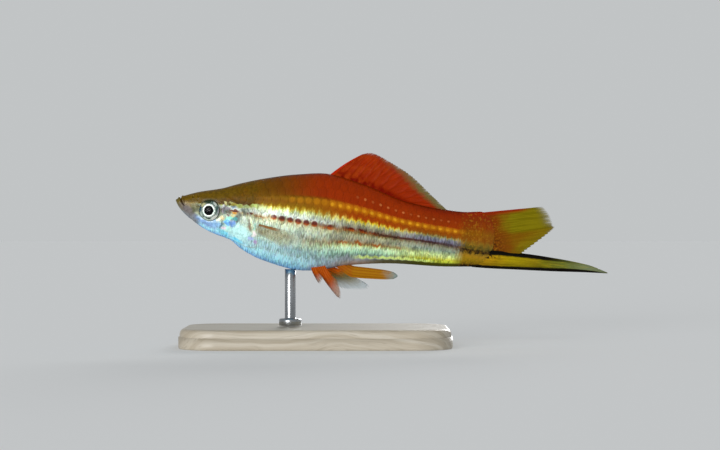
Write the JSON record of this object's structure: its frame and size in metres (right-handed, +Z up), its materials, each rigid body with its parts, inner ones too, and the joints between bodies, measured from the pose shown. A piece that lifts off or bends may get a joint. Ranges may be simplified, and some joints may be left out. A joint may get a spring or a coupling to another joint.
{
  "type": "swordtail fish model",
  "caption": "Life-size still model of a male swordtail fish with rayed fins and a long sword on its tail, held over a flat wooden base by a short steel rod.",
  "frame": {"origin": "centre of the whole model's box, at the underside of the base", "axes": "+X from the snout towards the sword's tip, +Y to the fish's right, +Z up; the fish faces -X and is pitched 8 degrees nose up"},
  "size_m": [0.0996, 0.034, 0.0446],
  "materials": {
    "skin": "scaled fish skin, red-brown back over a silver-green flank with a red line, wet gloss",
    "eye": "black pupil in a silver ring, clear domed front",
    "red_fin": "translucent rayed membrane, orange-red fading to olive at its margin",
    "sword_fin": "rayed membrane, golden between two black edges",
    "clear_fin": "nearly clear rayed membrane",
    "base_wood": "pale ash, white satin oil",
    "rod_steel": "brushed steel with a turned collar"
  },
  "bodies": {
    "root": {"head": "skin", "lower_jaw": "skin", "gill_cover_left": "skin", "gill_cover_right": "skin", "trunk": "skin", "tail_peduncle": "skin", "eye_left": "eye", "eye_right": "eye", "dorsal_fin": "red_fin", "caudal_fin": "red_fin", "sword": "sword_fin", "gonopodium": "red_fin", "pelvic_fin_left": "red_fin", "pelvic_fin_right": "red_fin", "pectoral_fin_left": "clear_fin", "pectoral_fin_right": "clear_fin", "stand_base": "base_wood", "stand_rod": "rod_steel"}
  },
  "joints": []
}
